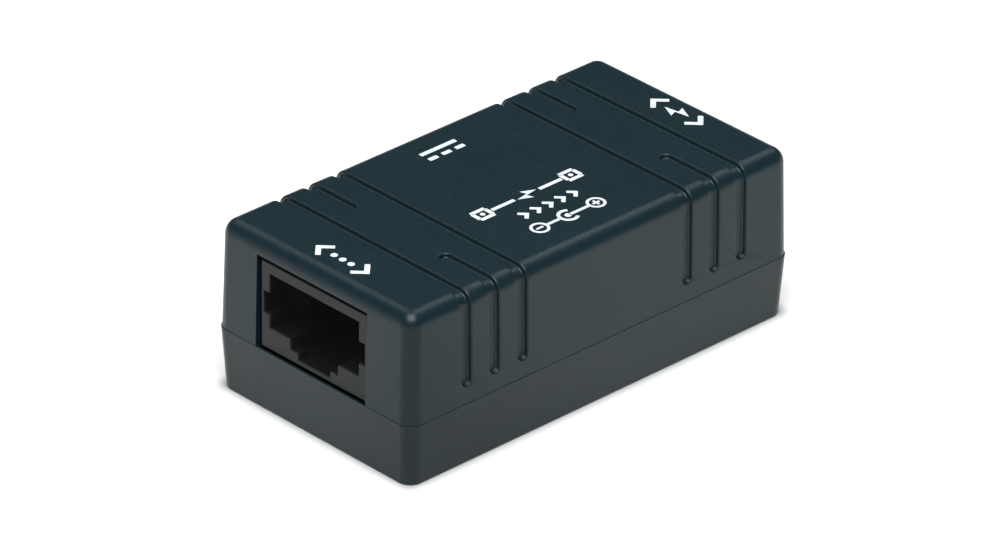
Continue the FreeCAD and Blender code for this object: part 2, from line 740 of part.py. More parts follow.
# ---------------------------------------------------------------- circuit board
def circuit_board():
    thick, face, strip = dim("board_thick"), dim("power_face"), dim("strip_thick")
    board = new_body("circuit_board", (0, 0, BOARD_LOW))
    Profile(board, "XY").rect(dim("board_length"), dim("board_width")).pad(thick)
    fillet(board, dim("board_corner"), upright)

    holes = Profile(board, "XY").circles(dim("screw_clear"), SCREWS)
    holes.circles(dim("peg_hole"), [
        (sx * (dim("jack_face") - dim("peg_x")), dim("jack_y") + sy * dim("peg_y"))
        for sx in (-1, 1) for sy in (-1, 1)])
    holes.pocket(thick, reverse=True)

    holes = Profile(board, "XY")
    for across, tail in zip(CONTACT_ACROSS, CONTACT_TAILS):
        from_middle = dim("jack_face") - tail
        holes.circle(dim("tail_hole"), -from_middle, dim("jack_y") + across)
        holes.circle(dim("tail_hole"), from_middle, dim("jack_y") - across)
    holes.pocket(thick, reverse=True)

    # slots for the power terminals and holes for the leads of the small parts
    long, short = dim("terminal_slot_long"), dim("terminal_slot_short")
    slots = Profile(board, "XY")
    slots.rect(long, short, 0, face - dim("leaf_root") - dim("sleeve_strip_gap") - strip / 2)
    slots.rect(long, short, 0, face - dim("power_length") - strip / 2)
    slots.rect(short, dim("switch_slot_long"), dim("switch_side") + strip / 2,
               face - dim("switch_depth"))
    for x, y, pitch in ((dim("fuse_x"), dim("fuse_y"), dim("fuse_pitch")),
                        (dim("capacitor_x"), dim("capacitor_y"), dim("capacitor_pitch")),
                        (0, dim("diode_y"), dim("diode_pitch"))):
        slots.circles(dim("lead_diameter") + dim("lead_clear"), pair(pitch, x, y))
    slots.pocket(thick, reverse=True)


# ---------------------------------------------------------------- network sockets
# Socket frame: face at x = 0, x inwards, y across, z above the board.
def jack_housing(name, place):
    length, past = dim("jack_length"), dim("cut_past")
    roof, floor, deep = dim("mouth_roof"), dim("mouth_floor"), dim("mouth_depth")
    shell = new_body(name + "_jack_housing", *place)
    Profile(shell, "XY").run(0, length, dim("jack_width")).pad(dim("jack_height"))

    # plug channel, flared at the face
    wide, narrow = dim("mouth_flare") / 2, dim("mouth_width") / 2
    straight, closed = dim("flare_straight"), dim("flare_end")
    mouth = Profile(shell, "XY", floor).poly([
        (0, -wide), (straight, -wide), (closed, -narrow), (deep, -narrow),
        (deep, narrow), (closed, narrow), (straight, wide), (0, wide)])
    mouth.pocket(roof - floor, reverse=True)

    # notches beside the mouth
    notch = Profile(shell, "YZ").rise(dim("notch_width"), dim("notch_low"), dim("notch_high"))
    notch.pocket(dim("notch_depth"), reverse=True)

    # latch channel: wide step, then the narrow one, which opens out behind the stop
    wide_floor, narrow_floor = dim("key_wide_floor"), dim("key_narrow_floor")
    for start, width, low, high in ((0, dim("key_wide"), wide_floor, floor),
                                    (0, dim("key_narrow"), narrow_floor, wide_floor),
                                    (dim("latch_stop"), dim("key_wide"), narrow_floor,
                                     wide_floor)):
        key = Profile(shell, "YZ", start).rise(width, low, high)
        key.pocket(deep - start, reverse=True)

    # pocket for the insert, open behind and below
    back = Profile(shell, "YZ", deep).rise(dim("back_width"), -past, dim("back_roof"))
    back.pocket(length - deep + 1, reverse=True)

    # slots under the roof for the fixed runs of the eight wires
    overlap, before_fold = 0.2, 0.3
    slots = Profile(shell, "XY", roof - overlap)
    for across in CONTACT_ACROSS:
        slots.run(dim("fold_x") - before_fold, deep + overlap, dim("wire_slot"), across)
    slots.pocket(dim("roof_slot") - roof + overlap, reverse=True)

    # locating pegs
    peg_sink = 0.3
    pegs = Profile(shell, "XY", peg_sink)
    pegs.circles(dim("peg_diameter"), [(dim("peg_x"), sy * dim("peg_y")) for sy in (-1, 1)])
    pegs.pad(dim("peg_length") + peg_sink, reverse=True)
    fillet(shell, dim("peg_round"), lambda edge: lies_at(edge, "Z", -dim("peg_length")))


def jack_insert(name, place):
    front, back, low = dim("insert_front"), dim("insert_back"), dim("insert_low")
    top, past = dim("insert_top"), dim("cut_past")
    insert = new_body(name + "_jack_insert", *place)
    Profile(insert, "XY", low).run(front, back, dim("insert_width")).pad(top - low)
    # comb for the free ends of the sprung wires
    comb = Profile(insert, "XY", dim("comb_low"))
    for across in CONTACT_ACROSS:
        comb.run(front - past, dim("comb_back"), dim("comb_slot"), across)
    comb.pocket(top, reverse=True)
    # channels for the tails
    channels = Profile(insert, "XY")
    slot = dim("wire_slot")
    for across, tail in zip(CONTACT_ACROSS, CONTACT_TAILS):
        channels.run(tail - slot / 2, back + past, slot, across)
    channels.pocket(dim("jack_height"), reverse=True)


def jack_contacts(name, place):
    """Sprung halves of the wires."""
    springs = new_body(name + "_jack_contacts", *place)
    first = CONTACT_ACROSS[0]
    start, height = dim("spring_x") + dim("wire_half_gap"), dim("spring_z")
    section = Profile(springs, "YZ", start, x=first, y=height).circle(dim("wire_diameter"))
    spine = Profile(springs, "XZ", -first).poly([
        (start, height), (start + dim("spring_straight"), height),
        (dim("spring_bend_x"), dim("spring_tip_z")),
        (dim("spring_tip_x"), dim("spring_tip_z"))], closed=False)
    row(springs, pipe(section, spine), dim("contact_pitch"), 8)


def jack_tails(name, place):
    """Fixed halves of the wires: fold, run under the roof, tail through the board."""
    tails = new_body(name + "_jack_tails", *place)
    start, height = dim("spring_x") - dim("wire_half_gap"), dim("spring_z")
    fold, roof_run = dim("fold_x"), dim("roof_run")
    for across, tail in zip(CONTACT_ACROSS[:2], CONTACT_TAILS[:2]):
        section = Profile(tails, "YZ", start, x=across, y=height).circle(dim("wire_diameter"))
        spine = Profile(tails, "XZ", -across).poly([
            (start, height), (fold, height), (fold, roof_run), (tail, roof_run),
            (tail, -dim("tail_length"))], closed=False)
        row(tails, pipe(section, spine), 2 * dim("contact_pitch"), 4)


def network_socket(name, side):
    """One socket; side is -1 for the -X end and 1 for the +X end."""
    place = ((side * dim("jack_face"), dim("jack_y"), BOARD_TOP), 0.0 if side < 0 else 180.0)
    for build in (jack_housing, jack_insert, jack_contacts, jack_tails):
        build(name, place)


# ---------------------------------------------------------------- power socket
# Socket frame: face at y = 0 looking along +Y, x across, z above the board.
POWER_AT = (0, dim("power_face"), BOARD_TOP)
PLUG_AXIS = dim("power_axis")
STRIP = dim("strip_thick")


def dc_housing():
    front, length, width = dim("power_front"), dim("power_length"), dim("power_body")
    housing = new_body("dc_jack_housing", POWER_AT)
    Profile(housing, "XZ").rise(dim("power_width"), 0, dim("power_height")).pad(front)
    # body behind the front block: square below the plug axis, round above it
    body_start = front - SINK
    Profile(housing, "XZ", body_start).rise(width, 0, PLUG_AXIS).pad(length - body_start)
    Profile(housing, "XZ", body_start).circle(width, 0, PLUG_AXIS).pad(length - body_start)
    bore = Profile(housing, "XZ").circle(dim("barrel_bore"), 0, PLUG_AXIS)
    bore.pocket(dim("barrel_depth"), reverse=True)
    chamfer(housing, dim("barrel_chamfer"),
            lambda edge: is_ring(edge) and lies_at(edge, "Y", 0))
    hole = Profile(housing, "XZ").circle(dim("pin_hole"), 0, PLUG_AXIS)
    hole.pocket(length + 1, reverse=True)

    # slot for the sleeve spring, open below
    slot = Profile(housing, "XY")
    slot.rise(dim("leaf_slot"), -dim("leaf_slot_back"), -dim("leaf_slot_front"))
    slot.pocket(dim("leaf_slot_height"), reverse=True)
    # passage for the switch finger
    passage_start, past_leg = 0.5, 1.5
    passage = Profile(housing, "XY")
    passage.run(passage_start, dim("switch_side") + past_leg, dim("passage_width"),
                -dim("switch_depth"))
    passage.pocket(dim("passage_height"), reverse=True)


def dc_centre_pin():
    tip, shank_start = dim("pin_tip"), dim("barrel_depth") - SINK
    pin = new_body("dc_jack_centre_pin", POWER_AT)
    thick = Profile(pin, "XZ", tip).circle(dim("pin_diameter"), 0, PLUG_AXIS)
    thick.pad(dim("barrel_depth") - tip)
    shank = Profile(pin, "XZ", shank_start).circle(dim("pin_shank"), 0, PLUG_AXIS)
    shank.pad(dim("pin_back") - shank_start)
    fillet(pin, dim("pin_round"), lambda edge: lies_at(edge, "Y", -tip))


def terminal_profile(body, depth, top):
    """Strip that narrows below the board surface to a leg."""
    half_width, reach = dim("terminal_width") / 2, dim("terminal_reach")
    shoulder_z, neck_z = -0.4, -0.9
    neck, foot = 0.7, 0.5
    return Profile(body, "XZ", depth).poly([
        (-half_width, shoulder_z), (-neck, neck_z), (-foot, -reach), (foot, -reach),
        (neck, neck_z), (half_width, shoulder_z), (half_width, top), (-half_width, top)])


def dc_pin_terminal():
    strip = new_body("dc_jack_pin_terminal", POWER_AT)
    outline = terminal_profile(strip, dim("power_length") + dim("pin_strip_gap"),
                               PLUG_AXIS + dim("pin_strip_rise"))
    outline.circle(dim("pin_hole"), 0, PLUG_AXIS).pad(STRIP)


def dc_sleeve_spring():
    leaf = new_body("dc_jack_sleeve_spring", POWER_AT)
    # centre line of the strip, from the held root to the free end: y, z
    middle = [(-dim("leaf_root"), dim("leaf_flat")),
              (-dim("leaf_knee"), dim("leaf_flat")),
              (-dim("leaf_crest"), dim("leaf_crest_height")),
              (-dim("leaf_end"), dim("leaf_end_height"))]
    under = [(y, z - STRIP / 2) for y, z in middle]
    over = [(y, z + STRIP / 2) for y, z in reversed(middle)]
    Profile(leaf, "YZ").poly(under + over).pad(dim("leaf_width"), mid=True)
    fillet(leaf, dim("leaf_round"), lambda edge: lies_at(edge, "Y", -dim("leaf_crest"))
           and edge.BoundBox.ZLength < 1e-3
           and edge.BoundBox.ZMin > dim("leaf_crest_height").value)


def dc_sleeve_terminal():
    strip = new_body("dc_jack_sleeve_terminal", POWER_AT)
    outline = terminal_profile(strip, dim("leaf_root") + dim("sleeve_strip_gap"),
                               dim("leaf_flat") + STRIP / 2)
    outline.pad(STRIP)


def dc_switch_terminal():
    """Leg on the outside of the body, finger across above the flat of the spring."""
    side, depth, width = dim("switch_side"), dim("switch_depth"), dim("switch_width")
    tip = dim("switch_tip")
    finger_low = dim("leaf_flat") + STRIP / 2 + dim("switch_gap")
    bend_low = -0.1
    switch = new_body("dc_jack_switch_terminal", POWER_AT)
    finger = Profile(switch, "XZ", depth - width / 2).poly([
        (tip, finger_low), (side, finger_low), (side, bend_low), (side + STRIP, bend_low),
        (side + STRIP, finger_low + STRIP), (tip, finger_low + STRIP)])
    finger.pad(width)
    leg = Profile(switch, "YZ", side).rise(width, -dim("terminal_reach"), 0, -depth)
    leg.pad(STRIP)


# ---------------------------------------------------------------- small parts on the board
LEAD = dim("lead_diameter")
TAIL = dim("tail_length")


def straight_leads(label, place, pitch, top):
    """Two upright leads, from the tail ends up to a height above the board."""
    leads = new_body(label, place)
    Profile(leads, "XY", -TAIL).circles(LEAD, pair(pitch)).pad(TAIL + top)


def polyfuse():
    place = (dim("fuse_x"), dim("fuse_y"), BOARD_TOP)
    diameter, pitch = dim("fuse_diameter"), dim("fuse_pitch")
    fuse = new_body("polyfuse_body", place)
    disc = Profile(fuse, "XZ").circle(diameter, 0, diameter / 2 + dim("fuse_lift"))
    disc.pad(dim("fuse_thick"), mid=True)
    fillet(fuse, dim("fuse_round"),
           lambda edge: is_ring(edge) and edge.BoundBox.YLength < 1e-3)
    # lead holes, cut upwards from just below the board surface
    hole_start, hole_length, hole_clear = -0.1, 3.6, 0.06
    holes = Profile(fuse, "XY", hole_start).circles(LEAD + hole_clear, pair(pitch))
    holes.pocket(hole_length, reverse=True)
    straight_leads("polyfuse_leads", place, pitch, dim("fuse_lead_top"))


def capacitor():
    place = (dim("capacitor_x"), dim("capacitor_y"), BOARD_TOP)
    diameter, height, lift = dim("can_diameter"), dim("can_height"), dim("can_lift")
    bung_height, pitch = dim("bung_height"), dim("capacitor_pitch")
    mouth = diameter - 2 * dim("can_wall")

    can = new_body("capacitor_can", place)
    Profile(can, "XY", lift).circle(diameter).pad(height)
    fillet(can, dim("can_round"),
           lambda edge: is_ring(edge) and lies_at(edge, "Z", height + lift))
    Profile(can, "XY", lift).circle(mouth).pocket(bung_height, reverse=True)
    # scored lines of the safety vent
    score = (dim("vent_length"), dim("vent_width"))
    for wide, deep in (score, score[::-1]):
        Profile(can, "XY", height + lift).rect(wide, deep).pocket(dim("vent_depth"))

    sleeve_clear = 0.04
    sleeve = new_body("capacitor_sleeve", place)
    tube = Profile(sleeve, "XY", lift).circle(dim("sleeve_diameter"))
    tube.circle(diameter + sleeve_clear).pad(height - dim("sleeve_short"))

    bung_clear, lead_clear = 0.06, 0.04
    bung_rise, lead_rise = 0.25, 0.2
    bung = new_body("capacitor_bung", place)
    Profile(bung, "XY").circle(mouth - bung_clear).pad(bung_height + bung_rise)
    holes = Profile(bung, "XY").circles(LEAD + lead_clear, pair(pitch))
    holes.pocket(bung_height + 1, reverse=True)

    straight_leads("capacitor_leads", place, pitch, bung_height + lead_rise)


def diode():
    place = (0, dim("diode_y"), BOARD_TOP)
    length, axis = dim("diode_length"), dim("diode_axis")
    body = new_body("diode_body", place)
    Profile(body, "YZ").circle(dim("diode_diameter"), 0, axis).pad(length, mid=True)
    fillet(body, dim("diode_round"),
           lambda edge: is_ring(edge) and edge.BoundBox.XLength < 1e-3)
    lead_clear = 0.04
    hole = Profile(body, "YZ", -length).circle(LEAD + lead_clear, 0, axis)
    hole.pocket(2 * length, reverse=True)

    # leads run out along X, then down through the board
    leads = new_body("diode_leads", place)
    for side in (-1, 1):
        start, bend = side * dim("diode_lead_start"), side * dim("diode_pitch") / 2
        section = Profile(leads, "YZ", start, y=axis).circle(LEAD)
        spine = Profile(leads, "XZ").poly([(start, axis), (bend, axis), (bend, -TAIL)],
                                          closed=False)
        pipe(section, spine)


# ---------------------------------------------------------------- build and write
bottom_case()
top_cover()
case_screws()
circuit_board()
network_socket("lan", -1)
network_socket("poe", 1)
dc_housing()
dc_centre_pin()
dc_pin_terminal()
dc_sleeve_spring()
dc_sleeve_terminal()
dc_switch_terminal()
polyfuse()
capacitor()
diode()

doc.recompute()
for obj in doc.Objects:
    if any(word in obj.State for word in ("Invalid", "Error")):
        raise RuntimeError("%s is %s" % (obj.Name, obj.State))
for body in PARTS:
    shape = body.Shape
    if shape.isNull() or not shape.isValid() or not shape.Solids:
        raise RuntimeError("%s has no sound shape" % body.Label)
for body in PARTS:
    body.Shape.exportStep("parts/%s.step" % body.Label)
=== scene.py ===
"""Power injector: a small flat case, lid up, standing on a paper floor at z = 0.

x runs from the LAN socket (-x) to the POE socket (+x), and z is up. The lid carries a DC mark
near its +y edge. Four screws go in from below. Lengths are in millimetres unless a name or a
comment says metres; mm() and MM turn them into metres. Colours are linear RGB.
"""

import math

import bpy
import bmesh
from mathutils import Matrix, Vector

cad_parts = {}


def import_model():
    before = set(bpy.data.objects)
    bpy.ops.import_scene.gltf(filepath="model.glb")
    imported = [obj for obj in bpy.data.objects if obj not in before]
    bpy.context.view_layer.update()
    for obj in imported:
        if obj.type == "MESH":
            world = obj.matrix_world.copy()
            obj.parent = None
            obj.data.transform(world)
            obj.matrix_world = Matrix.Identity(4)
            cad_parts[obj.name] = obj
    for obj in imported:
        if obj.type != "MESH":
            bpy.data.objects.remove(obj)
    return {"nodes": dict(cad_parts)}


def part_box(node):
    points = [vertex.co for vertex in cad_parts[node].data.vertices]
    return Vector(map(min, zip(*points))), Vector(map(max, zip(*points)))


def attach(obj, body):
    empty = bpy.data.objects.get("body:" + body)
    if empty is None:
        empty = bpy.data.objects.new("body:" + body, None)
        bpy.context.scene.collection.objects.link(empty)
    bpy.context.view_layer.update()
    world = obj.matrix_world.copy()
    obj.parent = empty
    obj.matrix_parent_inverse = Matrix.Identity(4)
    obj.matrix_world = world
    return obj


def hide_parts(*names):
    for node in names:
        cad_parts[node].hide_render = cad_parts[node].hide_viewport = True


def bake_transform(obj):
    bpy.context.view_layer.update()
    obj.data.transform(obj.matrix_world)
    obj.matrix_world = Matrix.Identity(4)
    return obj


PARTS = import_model()["nodes"]
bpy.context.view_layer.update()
MM = 0.001


def mm(x, y, z):
    return Vector((x * MM, y * MM, z * MM))


def middle(low, high):
    """Midpoint in millimetres of two places in metres."""
    return (low + high) / 2 / MM


# ------------------------------------------------------------------ sizes read from the CAD boxes
LID_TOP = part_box("top_cover")[1].z / MM
board_lo, board_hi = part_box("circuit_board")
BOARD_UNDER, BOARD_TOP = board_lo.z / MM, board_hi.z / MM
lan_lo, lan_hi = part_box("lan_jack_housing")
LAN_FACE = lan_lo.x / MM
POE_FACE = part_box("poe_jack_housing")[1].x / MM
JACK_Y = middle(lan_lo.y, lan_hi.y)

# Contact wires, shared by the sockets and the solder under them
WIRE_RADIUS = 0.20
WIRE_PITCH = 1.02
TAIL_ROWS = (14.4, 16.7)    # depth behind the socket face, even and odd wires
# (distance across the socket, depth of the tail) for the eight contacts
CONTACTS = [((k - 3.5) * WIRE_PITCH, TAIL_ROWS[k % 2]) for k in range(8)]


# ------------------------------------------------------------------ node helper
class Shader:
    """A material that ends in a Principled BSDF, with short calls for its other nodes."""

    def __init__(self, name):
        self.mat = bpy.data.materials.new(name)
        self.mat.use_nodes = True
        self.tree = self.mat.node_tree
        self.tree.nodes.clear()
        output = self.add("ShaderNodeOutputMaterial")
        self.bsdf = self.add("ShaderNodeBsdfPrincipled")
        self.put(output.inputs["Surface"], self.bsdf.outputs["BSDF"])
        self.coord = self.add("ShaderNodeTexCoord").outputs["Object"]

    def add(self, kind, **props):
        node = self.tree.nodes.new(kind)
        for key, value in props.items():
            setattr(node, key, value)
        return node

    def put(self, socket, value):
        """Feed an input from another socket, an RGB colour or a number."""
        if isinstance(value, bpy.types.NodeSocket):
            self.tree.links.new(value, socket)
        elif isinstance(value, tuple):
            socket.default_value = (*value, 1.0)
        else:
            socket.default_value = value

    def surface(self, **values):
        """Set BSDF inputs; underscores in the names stand for spaces."""
        for key, value in values.items():
            self.put(self.bsdf.inputs[key.replace("_", " ")], value)

    def noise(self, scale, detail=2.0, rough=0.5, vector=None, distortion=0.0):
        node = self.add("ShaderNodeTexNoise")
        self.put(node.inputs["Vector"], self.coord if vector is None else vector)
        node.inputs["Scale"].default_value = scale
        node.inputs["Detail"].default_value = detail
        node.inputs["Roughness"].default_value = rough
        node.inputs["Distortion"].default_value = distortion
        return node.outputs["Fac"]

    def voronoi(self, scale):
        node = self.add("ShaderNodeTexVoronoi", feature="F1")
        self.put(node.inputs["Vector"], self.coord)
        node.inputs["Scale"].default_value = scale
        return node.outputs["Distance"]

    def math(self, operation, a, b=0.0):
        node = self.add("ShaderNodeMath", operation=operation)
        self.put(node.inputs[0], a)
        self.put(node.inputs[1], b)
        return node.outputs[0]

    def plus(self, a, b):
        return self.math("ADD", a, b)

    def minus(self, a, b):
        return self.math("SUBTRACT", a, b)

    def times(self, a, b):
        return self.math("MULTIPLY", a, b)

    def ramp(self, value, over, to=(0.0, 1.0)):
        """Map the range `over` onto the range `to`, clamped."""
        node = self.add("ShaderNodeMapRange", clamp=True)
        self.put(node.inputs["Value"], value)
        node.inputs["From Min"].default_value, node.inputs["From Max"].default_value = over
        node.inputs["To Min"].default_value, node.inputs["To Max"].default_value = to
        return node.outputs["Result"]

    def mix(self, factor, a, b):
        """Colour a at factor 0, colour b at factor 1."""
        node = self.add("ShaderNodeMix", data_type="RGBA")
        for index, value in ((0, factor), (6, a), (7, b)):
            self.put(node.inputs[index], value)
        return node.outputs[2]

    def bump(self, height, strength, distance, normal=None):
        """Bumped normal; distance is in metres."""
        node = self.add("ShaderNodeBump")
        self.put(node.inputs["Height"], height)
        node.inputs["Strength"].default_value = strength
        node.inputs["Distance"].default_value = distance
        if normal is not None:
            self.put(node.inputs["Normal"], normal)
        return node.outputs["Normal"]

    def edges(self, radius):
        """1 on convex and concave edges within radius (metres), 0 on flats."""
        bevel = self.add("ShaderNodeBevel", samples=6)
        bevel.inputs["Radius"].default_value = radius
        geometry = self.add("ShaderNodeNewGeometry")
        dot = self.add("ShaderNodeVectorMath", operation="DOT_PRODUCT")
        self.put(dot.inputs[0], bevel.outputs["Normal"])
        self.put(dot.inputs[1], geometry.outputs["Normal"])
        return self.ramp(self.minus(1.0, dot.outputs["Value"]), over=(0.02, 0.35))

    def split(self, vector):
        """The x, y and z outputs of a vector."""
        node = self.add("ShaderNodeSeparateXYZ")
        self.put(node.inputs[0], vector)
        return node.outputs


# ------------------------------------------------------------------ materials
def moulded(name, dark, light, rough, grain, grain_scale=9000.0, edge=None, edge_mix=0.25,
            spec=0.5, shade=None):
    """Moulded plastic: spark-eroded grain, faint flow clouds, handling marks, paler edges.

    grain is the depth of the grain in millimetres; shade(s, colour) may paint shade into the
    colour.
    """
    s = Shader(name)
    s.surface(Specular_IOR_Level=spec)
    clouds = s.noise(scale=90.0, detail=4.0, rough=0.55)
    speck = s.noise(scale=2600.0, detail=2.0, rough=0.6)
    tone = s.plus(s.times(clouds, 0.6), s.times(speck, 0.4))
    colour = s.mix(s.ramp(tone, over=(0.32, 0.68)), dark, light)
    if edge is not None:
        wear = s.times(s.edges(radius=0.00028), edge_mix)
        patches = s.noise(scale=1500.0, detail=3.0, rough=0.6)
        wear = s.times(wear, s.ramp(patches, over=(0.3, 0.65), to=(0.35, 1.0)))
        colour = s.mix(wear, colour, edge)
    if shade is not None:
        colour = shade(s, colour)
    handling = s.noise(scale=420.0, detail=5.0, rough=0.65, distortion=0.6)
    rub = s.ramp(handling, over=(0.58, 0.72))
    roughness = s.ramp(speck, over=(0.25, 0.75), to=(rough - 0.05, rough + 0.06))
    roughness = s.minus(roughness, s.times(rub, 0.05))
    fine = s.voronoi(scale=grain_scale)
    coarse = s.noise(scale=grain_scale * 0.45, detail=3.0, rough=0.6)
    height = s.plus(s.times(fine, 0.6), s.times(coarse, 0.8))
    sink = s.bump(s.noise(scale=70.0), strength=0.05, distance=0.0006)
    s.surface(Base_Color=colour, Roughness=roughness,
              Normal=s.bump(height, strength=0.55, distance=grain * MM, normal=sink))
    return s.mat


def metal(name, colour, tint, rough, brushed=0.0, axis="x"):
    """Plated or drawn metal with fine lines along one axis and a few dull, tinted spots."""
    s = Shader(name)
    stretched = s.add("ShaderNodeCombineXYZ")
    for i, part in enumerate(s.split(s.coord)):
        s.put(stretched.inputs[i], s.times(part, 0.06 if "xyz"[i] == axis else 1.0))
    lines = s.noise(scale=14000.0, detail=2.0, rough=0.6, vector=stretched.outputs[0])
    dull = s.ramp(s.noise(scale=900.0, detail=4.0, rough=0.6), over=(0.45, 0.75))
    roughness = s.ramp(lines, over=(0.3, 0.7), to=(rough - 0.06, rough + 0.08))
    s.surface(Base_Color=s.mix(s.times(dull, 0.5), colour, tint),
              Roughness=s.plus(roughness, s.times(dull, 0.12)), Metallic=1.0,
              Normal=s.bump(lines, strength=0.25 + brushed, distance=0.000004))
    return s.mat


def painted_mouth_shade(s, colour):
    """The socket plastic is polished grey on its face; inside the mouth it gets painted shade, a
    near-black matt colour, and a faint painted glow from a small emission.
    """
    depth = s.minus(POE_FACE * MM, s.math("ABSOLUTE", s.split(s.coord)[0]))
    inside = s.ramp(depth, over=(0.00006, 0.0004))
    # inside the mouth: no specular, and a faint emission that is a painted glow
    s.surface(Specular_IOR_Level=s.ramp(inside, over=(0.0, 1.0), to=(0.15, 0.0)),
              Emission_Color=(1.0, 1.0, 1.02),
              Emission_Strength=s.ramp(inside, over=(0.0, 1.0), to=(0.0, 0.0034)))
    # painted shade: near-black colour inside the mouth, where shade falls
    return s.mix(inside, colour, (0.0055, 0.0056, 0.0058))


def print_ink():
    """Pad-printed ink: slightly uneven, pale blue-white, with pin holes over the grain."""
    s = Shader("legend_ink")
    patch = s.noise(scale=900.0, detail=4.0, rough=0.6)
    colour = s.mix(s.ramp(patch, over=(0.35, 0.7)), (0.62, 0.70, 0.74), (0.80, 0.86, 0.89))
    solid = s.ramp(s.voronoi(scale=5200.0), over=(0.02, 0.10))
    grain = s.noise(scale=5200.0, detail=3.0, rough=0.6)
    s.surface(Base_Color=s.mix(solid, (0.30, 0.36, 0.40), colour),
              Roughness=s.ramp(patch, over=(0.3, 0.7), to=(0.42, 0.58)),
              Normal=s.bump(grain, strength=0.5, distance=0.000004))
    return s.mat


def board_laminate():
    """Solder mask over paler raised tracks on the flats, glass cloth at the cut edge."""
    s = Shader("board_laminate")
    cells = s.add("ShaderNodeTexBrick", offset=0.5)
    s.put(cells.inputs["Vector"], s.coord)
    cells.inputs["Scale"].default_value = 190.0
    cells.inputs["Mortar Size"].default_value = 0.035
    tracks = s.ramp(cells.outputs["Fac"], over=(0.2, 0.8))
    clouds = s.noise(scale=260.0, detail=3.0, rough=0.5)
    mask = s.mix(s.ramp(clouds, over=(0.35, 0.7)), (0.006, 0.060, 0.028), (0.010, 0.085, 0.040))
    mask = s.mix(s.times(tracks, 0.6), mask, (0.020, 0.150, 0.070))
    normal = s.add("ShaderNodeNewGeometry").outputs["Normal"]
    flat = s.ramp(s.math("ABSOLUTE", s.split(normal)[2]), over=(0.4, 0.6))
    weave = s.noise(scale=5200.0)
    cloth = s.mix(s.ramp(weave, over=(0.3, 0.7)), (0.42, 0.40, 0.24), (0.56, 0.54, 0.36))
    s.surface(Base_Color=s.mix(flat, cloth, mask),
              Roughness=s.ramp(weave, over=(0.3, 0.7), to=(0.30, 0.42)),
              Normal=s.bump(tracks, strength=0.6, distance=0.000035))
    return s.mat


cover_plastic = moulded("cover_plastic", dark=(0.0044, 0.0152, 0.0204),
                        light=(0.0062, 0.0190, 0.0252), rough=0.34, grain=0.005,
                        edge=(0.060, 0.085, 0.098), edge_mix=0.22, spec=0.29)
tray_plastic = moulded("tray_plastic", dark=(0.0058, 0.0156, 0.0192),
                       light=(0.0078, 0.0186, 0.0230), rough=0.36, grain=0.005,
                       edge=(0.060, 0.082, 0.092), edge_mix=0.22, spec=0.285)
# the socket plastic takes painted shade and a painted glow inside its mouths
jack_plastic = moulded("jack_plastic", dark=(0.0225, 0.0248, 0.0246),
                       light=(0.0268, 0.0290, 0.0288), rough=0.42, grain=0.004,
                       edge=(0.05, 0.054, 0.055), shade=painted_mouth_shade)
# near-black inserts inside the socket mouths: painted shade, as dark as the shaded mouth
insert_plastic = moulded("insert_plastic", dark=(0.0035, 0.0037, 0.0040),
                         light=(0.0060, 0.0063, 0.0067), rough=0.42, grain=0.003)
dc_plastic = moulded("dc_plastic", dark=(0.0060, 0.0062, 0.0068),
                     light=(0.0095, 0.0098, 0.0105), rough=0.34, grain=0.003,
                     edge=(0.05, 0.05, 0.052), edge_mix=0.35)
diode_epoxy = moulded("diode_epoxy", dark=(0.006, 0.006, 0.007), light=(0.012, 0.012, 0.013),
                      rough=0.42, grain=0.004)
fuse_coating = moulded("fuse_coating", dark=(0.50, 0.30, 0.025), light=(0.62, 0.40, 0.05),
                       rough=0.38, grain=0.010, grain_scale=2600.0)
sleeve_film = moulded("sleeve_film", dark=(0.006, 0.010, 0.028), light=(0.010, 0.016, 0.040),
                      rough=0.22, grain=0.002)
bung_rubber = moulded("bung_rubber", dark=(0.010, 0.010, 0.010), light=(0.018, 0.018, 0.018),
                      rough=0.75, grain=0.008)
contact_gold = metal("contact_gold", colour=(0.86, 0.62, 0.25), tint=(0.70, 0.46, 0.20),
                     rough=0.24)
plated_brass = metal("plated_brass", colour=(0.74, 0.71, 0.64), tint=(0.55, 0.50, 0.40),
                     rough=0.24, axis="y")
tinned_copper = metal("tinned_copper", colour=(0.76, 0.76, 0.74), tint=(0.55, 0.54, 0.50),
                      rough=0.34)
can_aluminium = metal("can_aluminium", colour=(0.80, 0.80, 0.81), tint=(0.62, 0.62, 0.63),
                      rough=0.30, brushed=0.2, axis="z")
screw_steel = metal("screw_steel", colour=(0.55, 0.56, 0.57), tint=(0.33, 0.33, 0.34),
                    rough=0.30)
legend_ink = print_ink()
board_mask = board_laminate()
pale_band = moulded("diode_band", dark=(0.50, 0.50, 0.50), light=(0.62, 0.62, 0.61),
                    rough=0.5, grain=0.002)


# ------------------------------------------------------------------ CAD parts kept as they are
def soften(part, width, segments, angle):
    """Small moulded radii on a CAD part; width in millimetres, angle in degrees."""
    weld = part.modifiers.new("weld", "WELD")
    weld.merge_threshold = 0.000002
    bevel = part.modifiers.new("edge", "BEVEL")
    bevel.width = width * MM
    bevel.segments = segments
    bevel.limit_method = "ANGLE"
    bevel.angle_limit = math.radians(angle)
    bevel.use_clamp_overlap = True
    bevel.miter_outer = "MITER_ARC"
    bevel.face_strength_mode = "FSTR_ALL"
    normals = part.modifiers.new("normals", "WEIGHTED_NORMAL")
    normals.mode = "FACE_AREA"
    normals.weight = 80
    normals.keep_sharp = False
    normals.use_face_influence = True


def dress(material, *names, width=None, segments=1, angle=32):
    """Give CAD parts a material and, where a width is given, softened edges."""
    for name in names:
        part = PARTS[name]
        part.data.materials.clear()
        part.data.materials.append(material)
        if width is not None:
            soften(part, width, segments, angle)


DC_TERMINALS = ("dc_jack_pin_terminal", "dc_jack_sleeve_terminal", "dc_jack_switch_terminal")
LEADS = ("polyfuse_leads", "capacitor_leads", "diode_leads")

